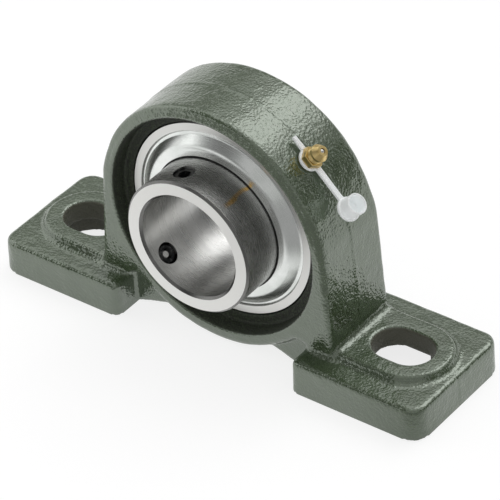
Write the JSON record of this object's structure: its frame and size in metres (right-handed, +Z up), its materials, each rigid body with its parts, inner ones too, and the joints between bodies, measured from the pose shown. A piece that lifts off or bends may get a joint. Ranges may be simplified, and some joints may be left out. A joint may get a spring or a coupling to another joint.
{
  "type": "pillow block bearing",
  "caption": "Cast iron pillow block on two slotted feet with a self-aligning ball bearing insert, set-screw inner ring, shields and a grease nipple with strapped dust cap.",
  "frame": {"origin": "midway between the two bolt slots, on the base plane", "axes": "+X along the base towards the foot on the grease nipple's side, +Y along the shaft away from the set screws, +Z up"},
  "size_m": [0.184, 0.0562, 0.0976],
  "materials": {
    "housing_paint": "gloss grey-green enamel over cast skin",
    "ring_steel": "ground bearing steel",
    "ball_steel": "polished",
    "cage_steel": "pressed sheet",
    "shield_zinc": "bright zinc",
    "lip_rubber": "matt black",
    "screw_black": "black oxide",
    "nipple_brass": "turned brass",
    "spring_steel": "drawn wire",
    "cap_plastic": "translucent white polyethylene"
  },
  "bodies": {
    "housing": {"housing": "housing_paint", "grease_nipple_body": "nipple_brass", "nipple_check_spring": "spring_steel"},
    "insert": {"outer_ring": "ring_steel", "seal_shield_front": "shield_zinc", "seal_shield_back": "shield_zinc", "seal_lip_front": "lip_rubber", "seal_lip_back": "lip_rubber"},
    "inner_ring": {"inner_ring": "ring_steel"},
    "cage": {"cage_front": "cage_steel", "cage_rear": "cage_steel", "cage_rivets": "cage_steel", "ball_1": "ball_steel", "ball_2": "ball_steel", "ball_3": "ball_steel", "ball_4": "ball_steel", "ball_5": "ball_steel", "ball_6": "ball_steel", "ball_7": "ball_steel", "ball_8": "ball_steel", "ball_9": "ball_steel"},
    "set_screw_1": {"set_screw_1": "screw_black"},
    "set_screw_2": {"set_screw_2": "screw_black"},
    "check_ball": {"nipple_check_ball": "ball_steel"},
    "dust_cap": {"dust_cap": "cap_plastic"}
  },
  "joints": [
    {"name": "insert_align", "type": "hinge", "parent": "housing", "child": "insert", "pos_m": [0, 0, 0.0492], "axis": [1, 0, 0], "range_deg": [-2, 2]},
    {"name": "inner_spin", "type": "hinge", "parent": "insert", "child": "inner_ring", "pos_m": [0, 0, 0.0492], "axis": [0, 1, 0], "continuous": true},
    {"name": "cage_spin", "type": "hinge", "parent": "insert", "child": "cage", "pos_m": [0, 0, 0.0492], "axis": [0, 1, 0], "continuous": true},
    {"name": "screw_1_travel", "type": "slide", "parent": "inner_ring", "child": "set_screw_1", "axis": [-0.1908, 0, 0.9816], "range_m": [-0.0006, 0.0014]},
    {"name": "screw_2_travel", "type": "slide", "parent": "inner_ring", "child": "set_screw_2", "axis": [-0.7547, 0, -0.6561], "range_m": [-0.0006, 0.0014]},
    {"name": "check_ball_lift", "type": "slide", "parent": "housing", "child": "check_ball", "axis": [0.7071, 0, 0.7071], "range_m": [-0.0008, 0], "stiffness_N_per_m": 200, "springref_m": 0.001, "deforming": ["nipple_check_spring"]},
    {"name": "cap_swivel", "type": "hinge", "parent": "housing", "child": "dust_cap", "pos_m": [0.03403, -0.00345, 0.08323], "axis": [0.7071, 0, 0.7071], "continuous": true}
  ],
  "couplings": [
    {"joint": "cage_spin", "follows": "inner_spin", "ratio": 0.4}
  ]
}
